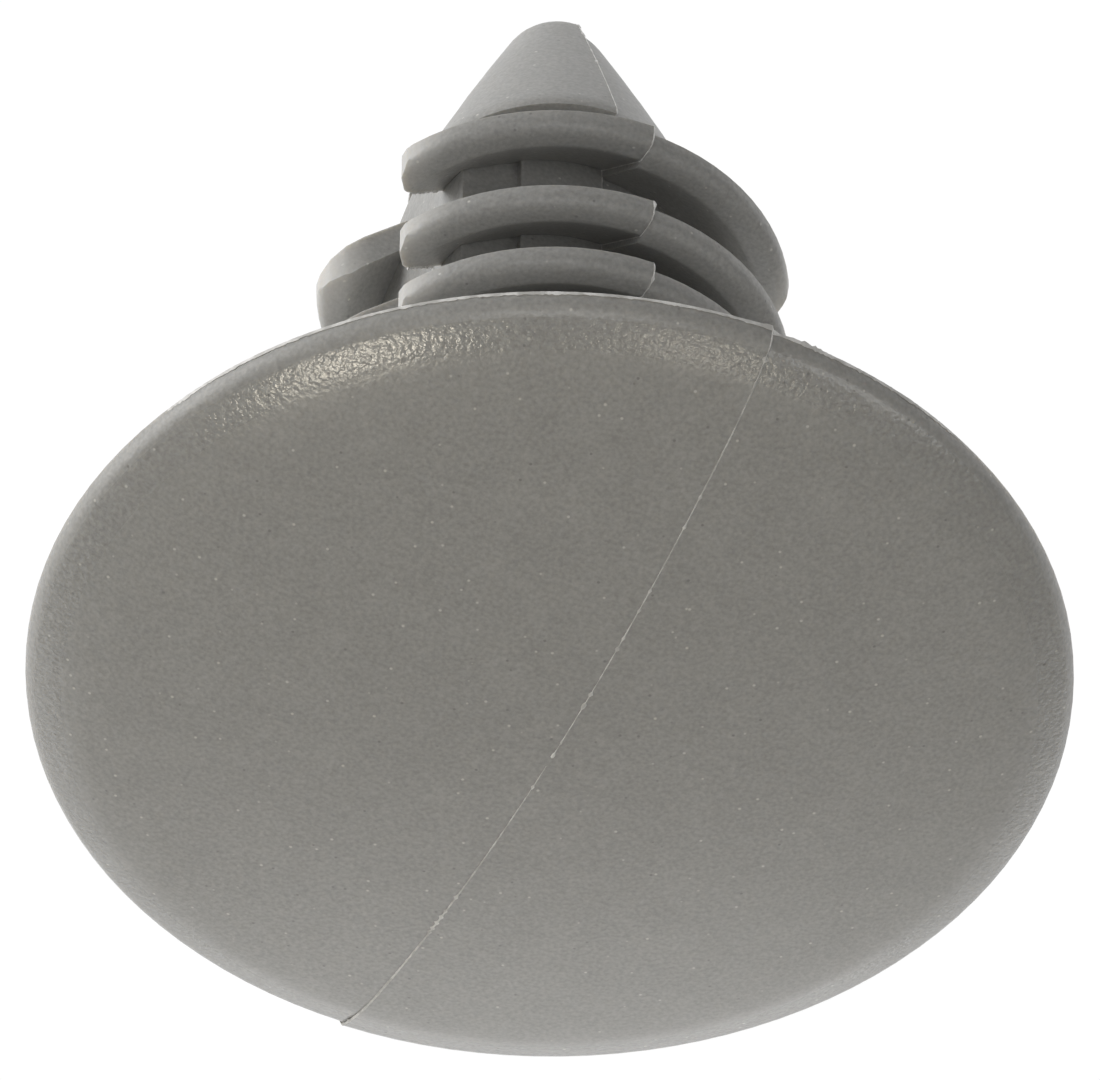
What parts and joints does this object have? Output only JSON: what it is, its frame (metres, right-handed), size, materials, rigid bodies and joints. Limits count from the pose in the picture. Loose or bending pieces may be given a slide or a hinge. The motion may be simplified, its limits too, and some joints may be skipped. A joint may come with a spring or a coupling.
{
  "type": "trim panel retainer",
  "caption": "Push-in fir-tree retainer: a domed round head on a shank with opposite banks of drooping fins and a bullet nose, holding a trim panel in a round hole.",
  "frame": {"origin": "centre of the head's flat back face, on the shank's axis", "axes": "+Z along the shank from the head's back to the tip of the nose; the fin banks stand towards -Y and +Y, and the mould parts on the plane x = 0"},
  "size_m": [0.0254, 0.0256, 0.0262],
  "materials": {
    "plastic": "fine moulded grain, satin"
  },
  "bodies": {
    "root": {"retainer": "plastic"}
  },
  "joints": []
}
